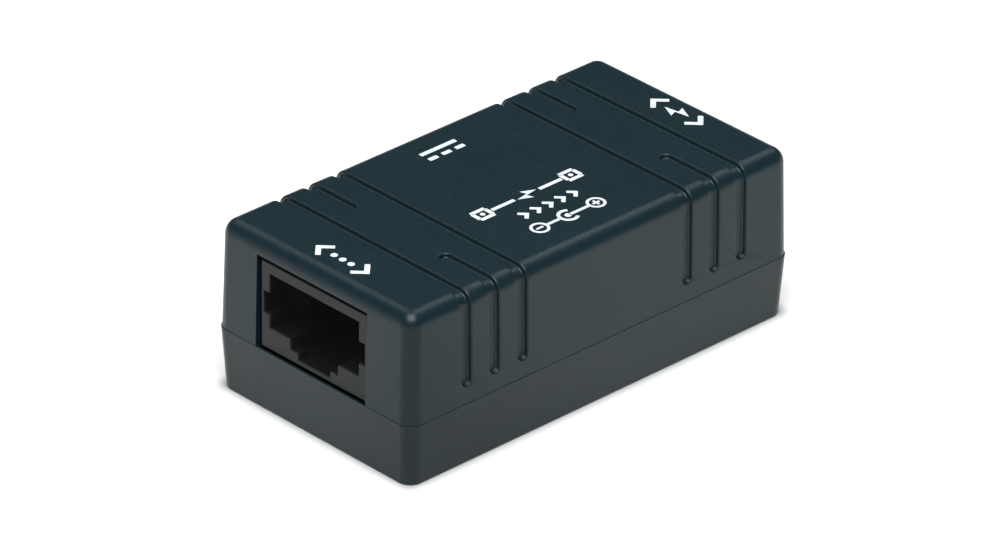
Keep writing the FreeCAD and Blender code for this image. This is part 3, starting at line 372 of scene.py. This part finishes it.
dress(cover_plastic, "top_cover", width=0.10, segments=2, angle=30)
dress(tray_plastic, "bottom_case", width=0.10, segments=2, angle=30)
dress(jack_plastic, "lan_jack_housing", "poe_jack_housing", width=0.09, segments=2)
dress(insert_plastic, "lan_jack_insert", "poe_jack_insert", width=0.04)
dress(dc_plastic, "dc_jack_housing", width=0.10, segments=2)
dress(plated_brass, *DC_TERMINALS, "dc_jack_sleeve_spring", width=0.03)
dress(plated_brass, "dc_jack_centre_pin")
dress(board_mask, "circuit_board")
dress(tinned_copper, *LEADS)
dress(fuse_coating, "polyfuse_body")
dress(can_aluminium, "capacitor_can", width=0.04)
dress(sleeve_film, "capacitor_sleeve", width=0.05, segments=2)
dress(bung_rubber, "capacitor_bung")
dress(diode_epoxy, "diode_body")


# ------------------------------------------------------------------ mesh helpers
def make(name, bm, material, body="injector", smooth_angle=30.0, nodes=()):
    mesh = bpy.data.meshes.new(name)
    bmesh.ops.recalc_face_normals(bm, faces=bm.faces)
    bm.to_mesh(mesh)
    bm.free()
    obj = bpy.data.objects.new(name, mesh)
    bpy.context.scene.collection.objects.link(obj)
    mesh.materials.append(material)
    mesh.shade_smooth()
    mesh.set_sharp_from_angle(angle=math.radians(smooth_angle))
    if nodes:
        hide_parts(*nodes)
    if body:
        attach(obj, body)
    return obj


def circle(x, y, radius, steps):
    angles = [2 * math.pi * j / steps for j in range(steps)]
    return [(x + radius * math.cos(a), y + radius * math.sin(a)) for a in angles]


def arc(x, y, radius, start, end, steps):
    """Points from start to end, both in degrees and both included."""
    angles = [math.radians(start + (end - start) * i / steps) for i in range(steps + 1)]
    return [(x + radius * math.cos(a), y + radius * math.sin(a)) for a in angles]


def ring_of(bm, x, y, z, radius, steps):
    """Level ring of vertices."""
    return [bm.verts.new(mm(px, py, z)) for px, py in circle(x, y, radius, steps)]


def join_rings(bm, a, b):
    n = len(a)
    for j in range(n):
        k = (j + 1) % n
        bm.faces.new((a[j], a[k], b[k], b[j]))


def fan(bm, ring, tip):
    """Triangles from a ring to one point."""
    for j in range(len(ring)):
        bm.faces.new((ring[j], ring[(j + 1) % len(ring)], tip))


def lathe(bm, x, y, profile, steps=24):
    """Closed turned solid about an upright axis; profile rows are (radius, z)."""
    rings = [ring_of(bm, x, y, z, radius, steps) for radius, z in profile]
    for a, b in zip(rings, rings[1:]):
        join_rings(bm, a, b)
    bm.faces.new(rings[0])
    bm.faces.new(rings[-1][::-1])


def densify(points, step):
    """Split long spans into equal parts, none shorter than step."""
    dense = [points[0]]
    for a, b in zip(points, points[1:]):
        parts = max(1, int(math.dist(a, b) / step))
        for i in range(1, parts + 1):
            dense.append(tuple(p + (q - p) * i / parts for p, q in zip(a, b)))
    return dense


def tube(bm, points, radius, sides=14):
    """Round wire with domed ends along points in an x-z plane, all in metres."""
    last = len(points) - 1
    tangents = [(points[min(i + 1, last)] - points[max(i - 1, 0)]).normalized()
                for i in range(last + 1)]

    def dome(point, tangent, reach):
        narrowed = radius * math.sqrt(1 - reach * reach)
        return point, tangent, narrowed

    stations = [dome(points[0] - tangents[0] * radius * k, tangents[0], k)
                for k in (0.98, 0.8, 0.45)]
    stations += [(point, tangent, radius) for point, tangent in zip(points, tangents)]
    stations += [dome(points[-1] + tangents[-1] * radius * k, tangents[-1], k)
                 for k in (0.45, 0.8, 0.98)]
    across = Vector((0, 1, 0))
    rings = []
    for centre, tangent, r in stations:
        side = across.cross(tangent).normalized()
        rings.append([bm.verts.new(centre + side * u + across * v)
                      for u, v in circle(0, 0, r, sides)])
    for a, b in zip(rings, rings[1:]):
        join_rings(bm, a, b)
    bm.faces.new(rings[0][::-1])
    bm.faces.new(rings[-1])


# ------------------------------------------------------------------ contact wires
# Both paths are (x, z) in the socket frame: face at x = 0, x inwards, z above the board.
ROOF = 9.85           # height of the run under the socket roof
FOLD_RADIUS = 0.30
BEND_RADIUS = 0.5     # where the roof run turns down into the tail
SPRUNG_PATH = arc(2.75, ROOF - FOLD_RADIUS, FOLD_RADIUS, 90, 270, 14) + [
    (2.95, 9.25), (3.2, 9.245), (3.5, 9.19), (3.85, 9.06), (4.2, 8.915),   # eased into the slope
    (11.65, 6.035), (12.0, 5.925), (12.35, 5.9), (12.9, 5.9)]              # short flat at the end


def fixed_path(row):
    """Roof run, bend and tail of a wire whose tail stands at depth row."""
    bend = arc(row - BEND_RADIUS, ROOF - BEND_RADIUS, BEND_RADIUS, 90, 0, 8)
    return [(2.72, ROOF)] + bend + [(row, ROOF - 0.9), (row, -2.55), (row, -2.8)]


def wires(prefix, end, face):
    """The eight contacts of one socket; end is -1 for LAN and 1 for POE."""
    def place(x, y, z):
        return mm(face - end * x, JACK_Y - end * y, BOARD_TOP + z)

    fixed, sprung = bmesh.new(), bmesh.new()
    for y, row in CONTACTS:
        for bm, path, step in ((sprung, SPRUNG_PATH, 0.35), (fixed, fixed_path(row), 0.8)):
            tube(bm, [place(x, y, z) for x, z in densify(path, step)], WIRE_RADIUS * MM)
    make(prefix + "_wires_fixed", fixed, contact_gold,
         nodes=(prefix + "_jack_tails",))
    obj = make(prefix + "_wires_sprung", sprung, contact_gold, body=None,
               nodes=(prefix + "_jack_contacts",))
    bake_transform(obj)


wires("lan", -1, LAN_FACE)
wires("poe", 1, POE_FACE)

# ------------------------------------------------------------------ case screws
HEAD_RADIUS = 2.0
HEAD_HEIGHT = 1.4
HEAD_RIM = 1.3                     # radius of the flat round the recess
SHANK = 0.86                       # core radius
# (radius, distance below the neck), from the neck outwards and down
HEAD_PROFILE = ((SHANK, 0.0), (1.75, 0.0), (1.93, 0.06), (HEAD_RADIUS, 0.2),
                (HEAD_RADIUS, 0.72), (1.96, 0.92), (1.86, 1.1), (1.7, 1.24), (1.5, 1.34))
ARM, HALF = 1.12, 0.24             # reach and half-width of the cross recess
CORNER = HALF + 0.1                # inner corners are cut back
CROSS = ((ARM, -HALF), (ARM, HALF), (CORNER, CORNER), (HALF, ARM), (-HALF, ARM),
         (-CORNER, CORNER), (-ARM, HALF), (-ARM, -HALF), (-CORNER, -CORNER),
         (-HALF, -ARM), (HALF, -ARM), (CORNER, -CORNER))
RECESS_TAPER = 0.52                # size of the recess floor against its mouth
RECESS_WALL, RECESS_DEPTH = 0.85, 1.0
THREAD_PITCH = 0.80
THREAD_DEPTH = 0.23
THREAD_SHAPE = (0.0, 0.0, 0.0, 0.0, 0.25, 0.85, 1.0, 0.85, 0.25, 0.0)   # over one pitch
POINT_LENGTH, POINT_RADIUS = 1.8, 0.30
SCREW_STEPS = 40


def screw_head(bm, x, y, low, neck):
    """Pan head, face down at z = low, with its cross recess."""
    stations = [(radius, neck - drop) for radius, drop in HEAD_PROFILE] + [(HEAD_RIM, low)]
    rings = [ring_of(bm, x, y, z, radius, SCREW_STEPS) for radius, z in stations]
    for a, b in zip(rings, rings[1:]):
        join_rings(bm, a, b)
    mouth = [bm.verts.new(mm(x + u, y + v, low)) for u, v in CROSS]
    base = [bm.verts.new(mm(x + u * RECESS_TAPER, y + v * RECESS_TAPER, low + RECESS_WALL))
            for u, v in CROSS]
    rims = []
    for loop in (rings[-1], mouth):
        for pair in zip(loop, loop[1:] + loop[:1]):
            rims.append(bm.edges.get(pair) or bm.edges.new(pair))
    bmesh.ops.triangle_fill(bm, use_beauty=True, edges=rims)
    join_rings(bm, mouth, base)
    fan(bm, base, bm.verts.new(mm(x, y, low + RECESS_DEPTH)))


def thread_radius(row, z, neck, high):
    """Thread fades in above the neck and out towards the tapered point."""
    start = min(max((z - neck - 0.15) / 0.5, 0.0), 1.0)
    end = min(max((high - 0.35 - z) / 1.3, 0.0), 1.0)
    core = SHANK
    if z >= high - POINT_LENGTH:
        along = (z - high + POINT_LENGTH) / POINT_LENGTH
        core -= (SHANK - POINT_RADIUS) * along ** 1.4
    return core + THREAD_DEPTH * THREAD_SHAPE[row % len(THREAD_SHAPE)] * start * end


def screw_shank(bm, x, y, neck, high):
    """Threaded shank; the rows of vertices follow the helix and are clamped at both ends."""
    rows, seg = len(THREAD_SHAPE), SCREW_STEPS
    row_height = THREAD_PITCH / rows
    last = int((high - neck) / row_height) + 1
    grid = {}
    for i in range(-rows, last + 1):
        for j in range(seg):
            z = neck + (i + rows * j / seg) * row_height
            z = min(max(z, neck), high)
            radius = thread_radius(i, z, neck, high)
            a = 2 * math.pi * j / seg
            grid[i, j] = bm.verts.new(mm(x + radius * math.cos(a), y + radius * math.sin(a), z))
    for i in range(-rows, last):
        for j in range(seg):
            # the last column meets the first one a full turn higher
            k, step = (j + 1) % seg, 0 if j < seg - 1 else rows
            keys = ((i, j), (i + step, k), (i + 1 + step, k), (i + 1, j))
            corners = [grid[key] for key in keys if key in grid]
            if len(corners) > 2:
                bm.faces.new(corners)
    end_ring = ring_of(bm, x, y, high, POINT_RADIUS, seg)
    fan(bm, end_ring, bm.verts.new(mm(x, y, high)))


def case_screws():
    bm = bmesh.new()
    lo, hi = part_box("case_screws")
    low, high = lo.z / MM, hi.z / MM
    for sx in (-1, 1):
        for sy in (-1, 1):
            x, y = sx * (hi.x / MM - HEAD_RADIUS), sy * (hi.y / MM - HEAD_RADIUS)
            screw_head(bm, x, y, low, low + HEAD_HEIGHT)
            screw_shank(bm, x, y, low + HEAD_HEIGHT, high)
    # head, shank and tip meet here, and the clamped rows collapse
    bmesh.ops.remove_doubles(bm, verts=bm.verts, dist=0.0000005)
    bmesh.ops.dissolve_degenerate(bm, edges=bm.edges, dist=0.0000004)
    loose = [v for v in bm.verts if not v.link_faces]
    bmesh.ops.delete(bm, geom=loose, context="VERTS")
    make("pan_head_screws", bm, screw_steel, nodes=("case_screws",),
         smooth_angle=35.0)


case_screws()

# ------------------------------------------------------------------ solder
# (foot radius, neck radius, height) of a joint
WIRE_JOINT = (0.46, WIRE_RADIUS, 1.05)
LEAD_JOINT = (0.85, 0.30, 1.1)
TERMINAL_JOINT = (1.15, 0.62, 1.15)
FOOT = 0.035          # thickness of a joint's straight foot
JOINT_STEPS = 7


def solder_joint(bm, x, y, wide, neck, tall):
    """Flared cone hanging under the board."""
    profile = [(wide, BOARD_UNDER + 0.002), (wide, BOARD_UNDER - FOOT)]
    for i in range(1, JOINT_STEPS + 1):
        t = i / JOINT_STEPS
        profile.append((neck + (wide * 0.94 - neck) * (1 - t) ** 2.1,
                        BOARD_UNDER - FOOT - (tall - FOOT) * t))
    lathe(bm, x, y, profile)


def solder():
    bm = bmesh.new()
    for end in (-1, 1):
        for across, row in CONTACTS:
            solder_joint(bm, end * (POE_FACE - row), JACK_Y - end * across, *WIRE_JOINT)
    for name in LEADS:
        lo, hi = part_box(name)
        for x in (lo.x / MM + 0.3, hi.x / MM - 0.3):
            solder_joint(bm, x, middle(lo.y, hi.y), *LEAD_JOINT)
    for name in DC_TERMINALS:
        lo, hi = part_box(name)
        x = hi.x / MM - 0.15 if name == "dc_jack_switch_terminal" else middle(lo.x, hi.x)
        solder_joint(bm, x, middle(lo.y, hi.y), *TERMINAL_JOINT)
    make("solder_joints", bm, tinned_copper, smooth_angle=50.0)


solder()

# ------------------------------------------------------------------ diode band, capacitor stripe
PROUD, SUNK = 0.012, 0.02     # how far the bands stand out of and reach into the part


def diode_band():
    """Pale ring round the diode, which lies along x."""
    low_x, high_x = -2.05, -1.45
    lo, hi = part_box("diode_body")
    y, z, radius = middle(lo.y, hi.y), middle(lo.z, hi.z), (hi.z - lo.z) / 2 / MM
    bm = bmesh.new()
    loops = [[bm.verts.new(mm(x, v, w)) for v, w in circle(y, z, r, 64)]
             for x, r in ((low_x, radius + PROUD), (high_x, radius + PROUD),
                          (high_x, radius - SUNK), (low_x, radius - SUNK))]
    for a, b in zip(loops, loops[1:] + loops[:1]):
        join_rings(bm, a, b)
    make("diode_band", bm, pale_band)


def capacitor_stripe():
    """Upright pale stripe, 60 degrees wide, on the +x side of the sleeve."""
    lo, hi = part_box("capacitor_sleeve")
    x, y, radius = middle(lo.x, hi.x), middle(lo.y, hi.y), (hi.x - lo.x) / 2 / MM
    low, high = lo.z / MM + 0.25, hi.z / MM - 0.25
    outer = arc(x, y, radius + PROUD, -30, 30, 16)
    inner = arc(x, y, radius - SUNK, -30, 30, 16)
    bm = bmesh.new()
    columns = [[bm.verts.new(mm(*point, z))
                for point, z in ((out, low), (out, high), (back, high), (back, low))]
               for out, back in zip(outer, inner)]
    for a, b in zip(columns, columns[1:]):
        join_rings(bm, a, b)
    bm.faces.new(columns[0])
    bm.faces.new(columns[-1][::-1])
    make("capacitor_stripe", bm, pale_band)


diode_band()
capacitor_stripe()

# ------------------------------------------------------------------ printed marks on the lid
# Plain pictograms in thin layers of ink, each a little proud of the lid.
INK_LO, INK_HI = LID_TOP - 0.01, LID_TOP + 0.025


def layer(bm, outline, z):
    return [bm.verts.new(mm(x, y, z)) for x, y in outline]


def prism(bm, outline):
    """Thin plate from an outline."""
    top, low = layer(bm, outline, INK_HI), layer(bm, outline, INK_LO)
    join_rings(bm, top, low)
    bm.faces.new(top)
    bm.faces.new(low[::-1])


def band(bm, outer, inner, closed=True):
    """Plate between two lines with the same number of points."""
    out_top, out_low = layer(bm, outer, INK_HI), layer(bm, outer, INK_LO)
    in_top, in_low = layer(bm, inner, INK_HI), layer(bm, inner, INK_LO)
    n = len(outer)
    for i in range(n if closed else n - 1):
        j = (i + 1) % n
        bm.faces.new((out_top[i], out_top[j], out_low[j], out_low[i]))
        bm.faces.new((in_top[j], in_top[i], in_low[i], in_low[j]))
        bm.faces.new((out_top[j], out_top[i], in_top[i], in_top[j]))
        bm.faces.new((out_low[i], out_low[j], in_low[j], in_low[i]))
    if not closed:
        bm.faces.new((out_top[0], out_low[0], in_low[0], in_top[0]))
        bm.faces.new((out_low[-1], out_top[-1], in_top[-1], in_low[-1]))


def left_of(direction):
    return Vector((-direction.y, direction.x))


def line_end(point, direction, width):
    """Square end of a line with small rounded corners, from its left side to its right."""
    radius = width * 0.16
    corners = []
    for side, angles in ((1, (0, 30, 60, 90)), (-1, (90, 60, 30, 0))):
        normal = left_of(direction) * side
        for a in map(math.radians, angles):
            corners.append(point + normal * (width / 2 - radius + radius * math.cos(a))
                           + direction * (radius * math.sin(a)))
    return corners


def stroke(bm, points, width):
    """Line through points with mitred corners."""
    points = [Vector(p) for p in points]
    left, right = [], []
    for before, point, after in zip(points, points[1:], points[2:]):
        normal = left_of((point - before).normalized())
        mitre = (normal + left_of((after - point).normalized())).normalized()
        reach = (width / 2) / max(mitre.dot(normal), 0.35)
        left.append(point + mitre * reach)
        right.append(point - mitre * reach)
    end = line_end(points[-1], (points[-1] - points[-2]).normalized(), width)
    start = line_end(points[0], -(points[1] - points[0]).normalized(), width)
    prism(bm, left + end + right[::-1] + start)


def line_x(bm, start, end, y, width):
    stroke(bm, [(start, y), (end, y)], width)


def line_y(bm, x, start, end, width):
    stroke(bm, [(x, start), (x, end)], width)


def disc(bm, x, y, radius):
    prism(bm, circle(x, y, radius, 28))


def chevron(bm, x, y, dx, dy, size, width):
    """Arrow head at (x, y) pointing along (dx, dy)."""
    back_x, back_y = x - dx * size, y - dy * size
    stroke(bm, [(back_x - dy * size, back_y + dx * size), (x, y),
                (back_x + dy * size, back_y - dx * size)], width)


def bolt(bm, x, y, dx, dy, size):
    """Zig-zag spark, long way along (dx, dy)."""
    # (along, across), as parts of size
    shape = ((1.0, 0.10), (-0.12, 0.62), (0.08, 0.08), (-1.0, -0.10), (0.12, -0.62),
             (-0.08, -0.08))
    points = [(x + (dx * a - dy * b) * size, y + (dy * a + dx * b) * size) for a, b in shape]
    # two halves joined at the waist
    for half in ((0, 1, 2, 5), (3, 4, 5, 2)):
        prism(bm, [points[i] for i in half])


def port_arrows(bm, x, y, reach):
    """Two arrow heads pointing away from (x, y) along y."""
    for way in (1, -1):
        chevron(bm, x, y + way * reach, 0, way, size=1.20, width=0.62)


def legend_lan_port(bm, x=-25.1, y=-0.7):
    """Arrow heads about three dots: a network port."""
    port_arrows(bm, x, y, reach=3.85)
    for k in (-1, 0, 1):
        disc(bm, x, y + k * 1.35, 0.42)


def legend_poe_port(bm, x=25.25, y=-0.9):
    """Arrow heads about a spark: a powered network port."""
    port_arrows(bm, x, y, reach=3.75)
    bolt(bm, x, y, 0, 1, size=1.75)


def legend_dc(bm, width=0.62):
    """Solid line over three dashes: direct current."""
    line_x(bm, -2.75, 2.35, 10.85, width)
    for k in (-1, 0, 1):
        x = -0.2 + k * 2.0
        line_x(bm, x - 0.55, x + 0.55, 9.45, width)


def legend_power_path(bm, y=-3.5, width=0.52):
    """Two ports joined by a broken line with a spark in the gap."""
    half_x, half_y = 0.95, 0.85
    for x in (-7.0, 6.3):
        for side in (-1, 1):
            line_x(bm, x - half_x, x + half_x, y + side * half_y, width)
        for side in (-1, 1):
            line_y(bm, x + side * half_x, y - half_y + 0.25, y + half_y - 0.25, width)
        disc(bm, x, y, 0.30)
    line_x(bm, -5.55, -2.3, y, width)
    line_x(bm, 1.6, 4.85, y, width)
    bolt(bm, -0.35, y, 1, 0, size=1.55)


def legend_flow(bm):
    """Row of arrow heads pointing to the POE end."""
    for k in range(5):
        chevron(bm, -3.4 + k * 1.85, -6.7, 1, 0, size=0.68, width=0.48)


def legend_polarity(bm, y=-9.9):
    """Plug polarity: ringed minus, open circle about a dot, ringed plus."""
    minus_x, plug_x, plus_x = -4.5, -0.25, 4.0
    ring_radius, ring_width = 0.98, 0.34
    for x in (minus_x, plus_x):
        band(bm, circle(x, y, ring_radius + ring_width / 2, 36),
             circle(x, y, ring_radius - ring_width / 2, 36))
        line_x(bm, x - 0.46, x + 0.46, y, 0.30)
    line_y(bm, plus_x, y - 0.46, y - 0.19, 0.30)
    line_y(bm, plus_x, y + 0.19, y + 0.46, 0.30)
    disc(bm, plug_x, y, 0.40)
    line_x(bm, plug_x + 0.30, 2.84, y, 0.42)
    line_x(bm, -3.34, -1.50, y, 0.42)
    band(bm, arc(plug_x, y, 1.28, 50, 310, 26), arc(plug_x, y, 0.86, 50, 310, 26), closed=False)


for draw in (legend_lan_port, legend_poe_port, legend_dc, legend_power_path, legend_flow,
             legend_polarity):
    bm = bmesh.new()
    draw(bm)
    make(draw.__name__, bm, legend_ink)


# ------------------------------------------------------------------ floor
def floor_paper():
    """White paper with a painted contact shade round the case; other rays meet tinted colours with
    a painted shadow in a wedge on the camera's side of the case.
    """
    s = Shader("floor_paper")
    x, y = s.split(s.coord)[:2]
    # painted shadow: a darker wedge of floor on the camera's side of the case, met only by rays
    # that are not camera rays, in reflections and indirect light
    along = s.plus(s.times(x, -0.69), s.times(y, -0.72))
    across = s.math("ABSOLUTE", s.minus(s.times(x, -0.72), s.times(y, -0.69)))
    shadow_wedge = s.ramp(s.minus(along, s.times(across, 0.7)), over=(0.0, 0.03))
    shadowed_bounce = s.mix(shadow_wedge, (0.905, 0.93, 0.885), (0.67, 0.685, 0.66))
    paper = s.mix(s.noise(scale=3.0, detail=3.0, rough=0.5), (0.94, 0.94, 0.94),
                  (0.96, 0.96, 0.96))
    # distance outside a rectangle under the case, in metres
    out_x, out_y = (s.math("MAXIMUM", s.minus(s.math("ABSOLUTE", place), half), 0.0)
                    for place, half in ((x, 0.0278), (y, 0.0144)))
    out = s.math("SQRT", s.plus(s.times(out_x, out_x), s.times(out_y, out_y)))
    contact = s.mix(s.ramp(out, over=(0.0005, 0.0022)), (0.44, 0.445, 0.45), paper)
    seen = s.add("ShaderNodeLightPath").outputs["Is Camera Ray"]
    s.surface(Base_Color=s.mix(seen, shadowed_bounce, contact), Roughness=0.9, Specular_IOR_Level=0.0)
    return s.mat


def floor(half=3.0, cells=12):
    """Square sheet at z = 0; half its side is in metres."""
    bm = bmesh.new()
    ticks = [-half + 2 * half * i / cells for i in range(cells + 1)]
    grid = [[bm.verts.new((x, y, 0.0)) for y in ticks] for x in ticks]
    for a, b in zip(grid, grid[1:]):
        for j in range(cells):
            bm.faces.new((a[j], b[j], b[j + 1], a[j + 1]))
    make("floor", bm, floor_paper(), body=None)


floor()


# ------------------------------------------------------------------ lights, world, camera (metres)
def softbox(name, at, size, power, colour=(1, 1, 1)):
    """Rectangular area light turned towards the case."""
    light = bpy.data.lights.new(name, "AREA")
    light.shape = "RECTANGLE"
    light.size, light.size_y = size
    light.energy = power
    light.color = colour
    obj = bpy.data.objects.new(name, light)
    obj.location = at
    obj.rotation_mode = "QUATERNION"
    aim = Vector((0, 0, 0.01))
    obj.rotation_quaternion = (aim - Vector(at)).to_track_quat("-Z", "Y")
    bpy.context.scene.collection.objects.link(obj)


softbox("over", at=(-0.35, -0.35, 1.25), size=(1.1, 1.1), power=28.0)
softbox("left", at=(-1.2, 0.85, 0.30), size=(0.9, 0.5), power=1.0, colour=(1.0, 0.90, 0.88))
softbox("rim", at=(0.757, 0.16, 0.985), size=(0.64, 0.64), power=2.6)
softbox("rim_end", at=(0.155, 0.785, 0.96), size=(0.64, 0.64), power=1.6)

studio = bpy.data.worlds.new("studio")
bpy.context.scene.world = studio
studio.use_nodes = True
background = studio.node_tree.nodes["Background"]
background.inputs["Color"].default_value = (0.80, 0.90, 1.0, 1)
background.inputs["Strength"].default_value = 0.09


def camera(at, azimuth, elevation, roll, lens):
    """Camera at a place, with the heading, downward tilt and roll of its view in degrees."""
    az, el, turn = (math.radians(a) for a in (azimuth, elevation, roll))
    back = Vector((-math.cos(az) * math.cos(el), -math.sin(az) * math.cos(el), math.sin(el)))
    level = Vector((0, 0, 1)).cross(back).normalized()
    upright = back.cross(level).normalized()
    right = level * math.cos(turn) + upright * math.sin(turn)
    up = -level * math.sin(turn) + upright * math.cos(turn)
    data = bpy.data.cameras.new("camera")
    data.sensor_width = 36.0
    data.lens = lens
    data.clip_start, data.clip_end = 0.05, 20.0
    obj = bpy.data.objects.new("camera", data)
    bpy.context.scene.collection.objects.link(obj)
    obj.matrix_world = Matrix((*zip(right, up, back, at), (0, 0, 0, 1)))
    bpy.context.scene.camera = obj


camera(at=(-0.54859, -0.56881, 0.45264), azimuth=46.082, elevation=29.312, roll=0.784,
       lens=295.75)
bpy.context.scene.view_settings.view_transform = "Standard"
